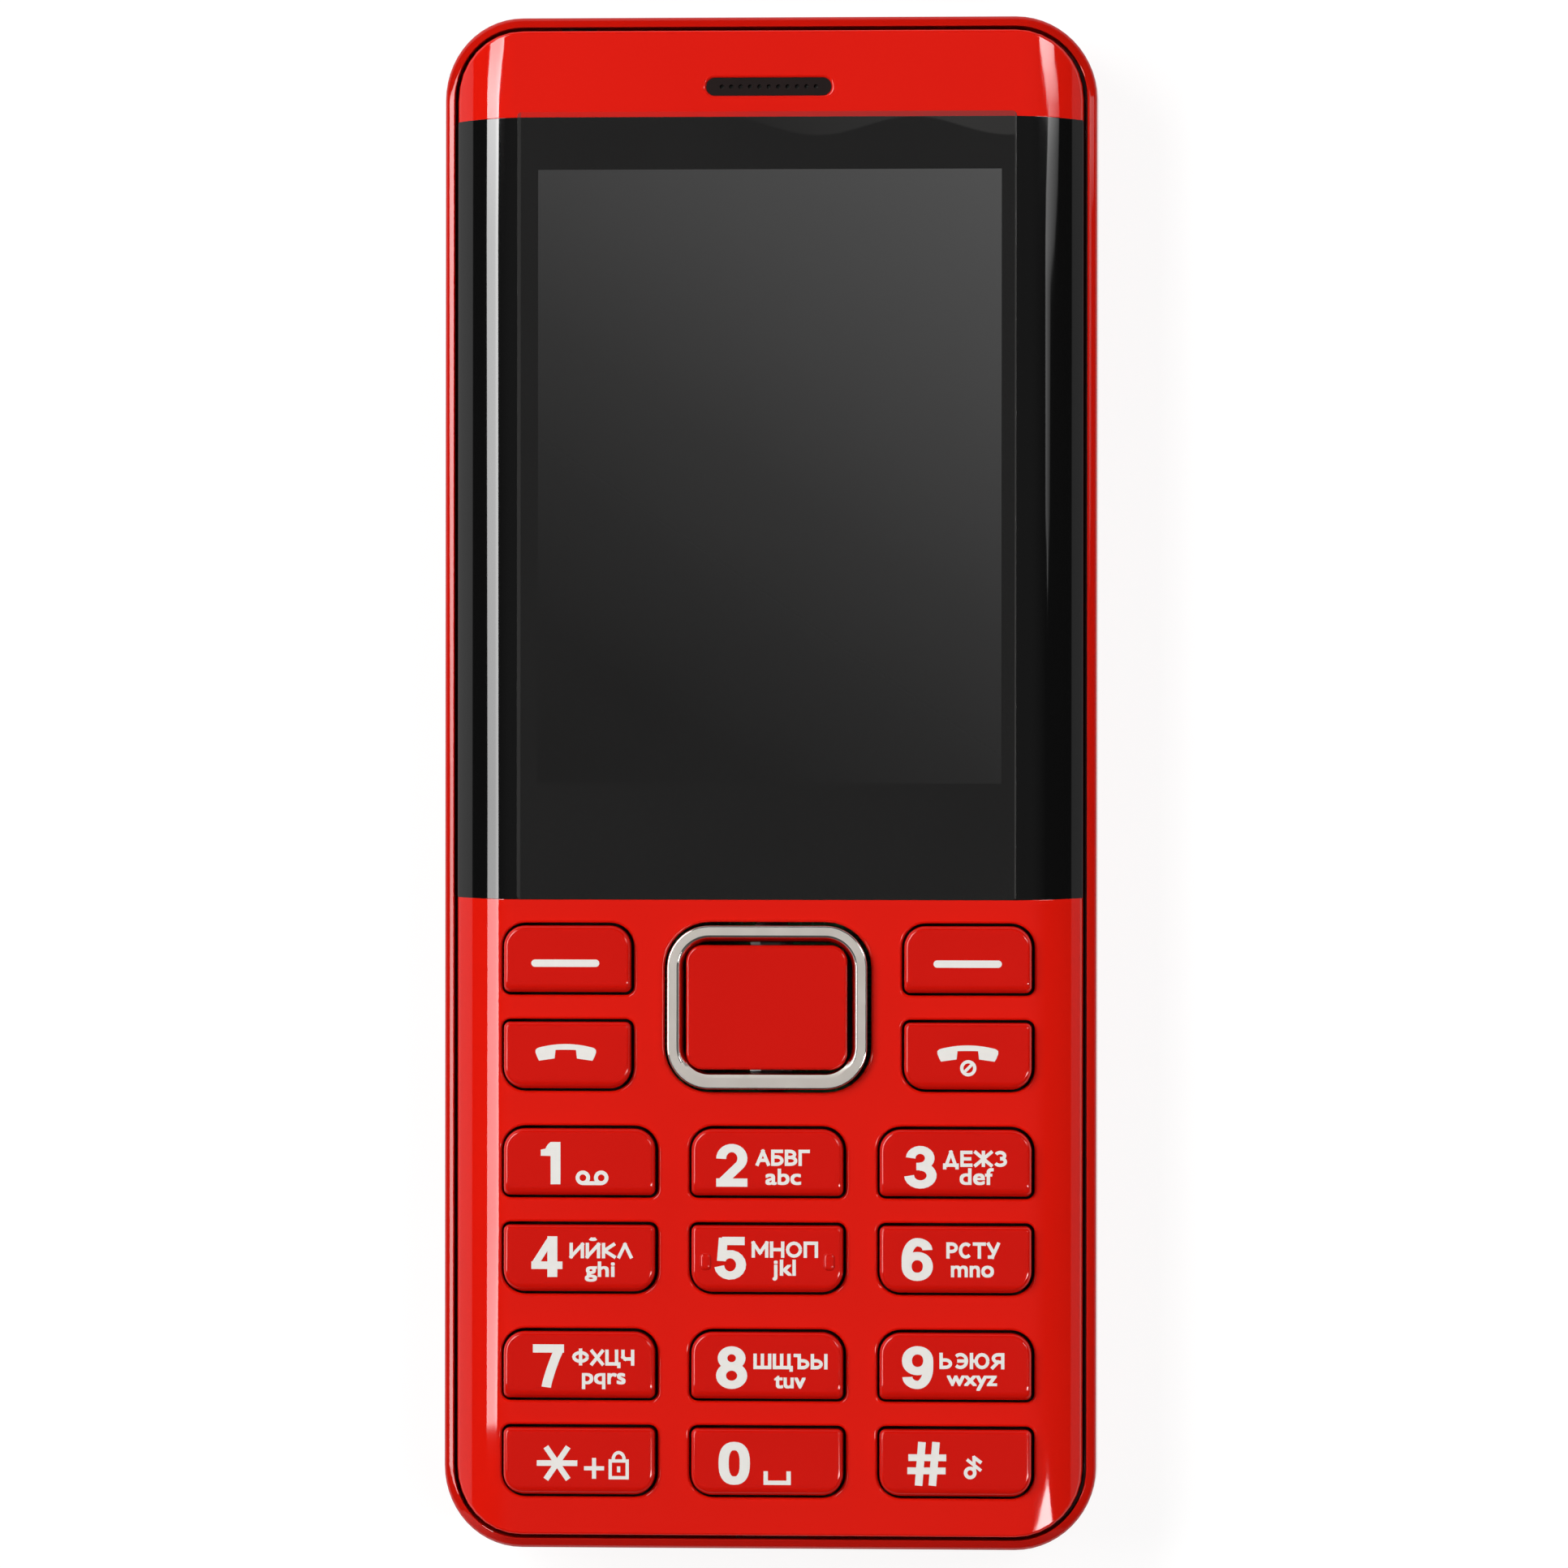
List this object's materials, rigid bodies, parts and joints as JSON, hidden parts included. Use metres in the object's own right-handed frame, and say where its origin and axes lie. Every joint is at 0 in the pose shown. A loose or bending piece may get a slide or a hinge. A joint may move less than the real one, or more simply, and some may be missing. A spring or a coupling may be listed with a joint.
{
  "type": "feature phone",
  "caption": "Candybar feature phone with a rolled-edge front, dark window, chrome navigation ring, raised pressing keys and a lift-off battery cover.",
  "frame": {"origin": "middle of the flat rear face, on the surface the phone lies on", "axes": "+X to the right of the keypad, +Y towards the earpiece end, +Z out of the front face"},
  "size_m": [0.0604, 0.1416, 0.0156],
  "materials": {
    "red_shell": "high gloss red moulded plastic",
    "red_keys": "gloss red lacquered key caps with white print",
    "black_acrylic": "polished black-backed acrylic",
    "clear_film": "clear polyester film",
    "black_plastic": "fine-grained moulded plastic",
    "chrome_ring": "plated plastic, polished",
    "steel": "bright stamped sheet",
    "tungsten": "sintered metal",
    "display": "unlit liquid crystal panel",
    "foam": "soft black foam",
    "ribbon": "polyimide ribbon",
    "board": "green solder mask",
    "silicone": "milky silicone rubber",
    "diode": "clear and yellow resin",
    "clear_lens": "clear moulded lens",
    "antenna_gold": "plated strip on plastic",
    "contact_gold": "gold flashed springs",
    "battery_wrap": "printed plastic wrap"
  },
  "bodies": {
    "rear_cover": {"rear_cover": "red_shell", "camera_window": "black_acrylic", "torch_lens": "clear_lens"},
    "chassis": {"rear_housing": "red_shell", "front_housing": "red_shell", "screen_window": "black_acrylic", "screen_film": "clear_film", "earpiece_grille": "black_plastic", "earpiece_receiver": "steel", "display_module": "display", "display_gasket": "foam", "display_flex": "ribbon", "main_board": "board", "shield_cans": "steel", "key_domes": "steel", "keypad_mat": "silicone", "camera_module": "black_plastic", "torch_led": "diode", "loudspeaker": "black_plastic", "antenna": "antenna_gold", "vibration_motor": "steel", "microphone": "steel", "usb_socket": "steel", "headphone_socket": "black_plastic", "sim_holders": "steel", "memory_holder": "steel", "battery_contacts": "contact_gold", "battery": "battery_wrap", "housing_screws": "steel"},
    "eccentric_weight": {"eccentric_weight": "tungsten"},
    "nav_rocker": {"nav_rocker": "black_plastic"},
    "nav_ring": {"nav_ring": "chrome_ring"},
    "ok_key": {"ok_key": "red_keys"},
    "softkey_left": {"softkey_left": "red_keys"},
    "softkey_right": {"softkey_right": "red_keys"},
    "call_key": {"call_key": "red_keys"},
    "end_key": {"end_key": "red_keys"},
    "key_1": {"key_1": "red_keys"},
    "key_2": {"key_2": "red_keys"},
    "key_3": {"key_3": "red_keys"},
    "key_4": {"key_4": "red_keys"},
    "key_5": {"key_5": "red_keys"},
    "key_6": {"key_6": "red_keys"},
    "key_7": {"key_7": "red_keys"},
    "key_8": {"key_8": "red_keys"},
    "key_9": {"key_9": "red_keys"},
    "key_star": {"key_star": "red_keys"},
    "key_0": {"key_0": "red_keys"},
    "key_hash": {"key_hash": "red_keys"}
  },
  "joints": [
    {"name": "softkey_left_press", "type": "slide", "parent": "chassis", "child": "softkey_left", "axis": [0, 0, -1], "range_m": [0, 0.0003], "stiffness_N_per_m": 1500},
    {"name": "softkey_right_press", "type": "slide", "parent": "chassis", "child": "softkey_right", "axis": [0, 0, -1], "range_m": [0, 0.0003], "stiffness_N_per_m": 1500},
    {"name": "call_key_press", "type": "slide", "parent": "chassis", "child": "call_key", "axis": [0, 0, -1], "range_m": [0, 0.0003], "stiffness_N_per_m": 1500},
    {"name": "end_key_press", "type": "slide", "parent": "chassis", "child": "end_key", "axis": [0, 0, -1], "range_m": [0, 0.0003], "stiffness_N_per_m": 1500},
    {"name": "key_1_press", "type": "slide", "parent": "chassis", "child": "key_1", "axis": [0, 0, -1], "range_m": [0, 0.0003], "stiffness_N_per_m": 1500},
    {"name": "key_2_press", "type": "slide", "parent": "chassis", "child": "key_2", "axis": [0, 0, -1], "range_m": [0, 0.0003], "stiffness_N_per_m": 1500},
    {"name": "key_3_press", "type": "slide", "parent": "chassis", "child": "key_3", "axis": [0, 0, -1], "range_m": [0, 0.0003], "stiffness_N_per_m": 1500},
    {"name": "key_4_press", "type": "slide", "parent": "chassis", "child": "key_4", "axis": [0, 0, -1], "range_m": [0, 0.0003], "stiffness_N_per_m": 1500},
    {"name": "key_5_press", "type": "slide", "parent": "chassis", "child": "key_5", "axis": [0, 0, -1], "range_m": [0, 0.0003], "stiffness_N_per_m": 1500},
    {"name": "key_6_press", "type": "slide", "parent": "chassis", "child": "key_6", "axis": [0, 0, -1], "range_m": [0, 0.0003], "stiffness_N_per_m": 1500},
    {"name": "key_7_press", "type": "slide", "parent": "chassis", "child": "key_7", "axis": [0, 0, -1], "range_m": [0, 0.0003], "stiffness_N_per_m": 1500},
    {"name": "key_8_press", "type": "slide", "parent": "chassis", "child": "key_8", "axis": [0, 0, -1], "range_m": [0, 0.0003], "stiffness_N_per_m": 1500},
    {"name": "key_9_press", "type": "slide", "parent": "chassis", "child": "key_9", "axis": [0, 0, -1], "range_m": [0, 0.0003], "stiffness_N_per_m": 1500},
    {"name": "key_star_press", "type": "slide", "parent": "chassis", "child": "key_star", "axis": [0, 0, -1], "range_m": [0, 0.0003], "stiffness_N_per_m": 1500},
    {"name": "key_0_press", "type": "slide", "parent": "chassis", "child": "key_0", "axis": [0, 0, -1], "range_m": [0, 0.0003], "stiffness_N_per_m": 1500},
    {"name": "key_hash_press", "type": "slide", "parent": "chassis", "child": "key_hash", "axis": [0, 0, -1], "range_m": [0, 0.0003], "stiffness_N_per_m": 1500},
    {"name": "ok_key_press", "type": "slide", "parent": "chassis", "child": "ok_key", "axis": [0, 0, -1], "range_m": [0, 0.0003], "stiffness_N_per_m": 1500},
    {"name": "nav_side_tilt", "type": "hinge", "parent": "chassis", "child": "nav_rocker", "pos_m": [0, -0.0207, 0.0119], "axis": [0, 1, 0], "range_deg": [-1.5, 1.5], "stiffness_Nm_per_rad": 0.5},
    {"name": "nav_up_tilt", "type": "hinge", "parent": "nav_rocker", "child": "nav_ring", "pos_m": [0, -0.0207, 0.0119], "axis": [1, 0, 0], "range_deg": [-1.5, 1.5], "stiffness_Nm_per_rad": 0.5},
    {"name": "cover_release", "type": "slide", "parent": "rear_cover", "child": "chassis", "axis": [0, 0, 1], "range_m": [0, 0.015]},
    {"name": "motor_spin", "type": "hinge", "parent": "chassis", "child": "eccentric_weight", "pos_m": [0.006, 0.03923, 0.0038], "axis": [1, 0, 0], "continuous": true}
  ]
}
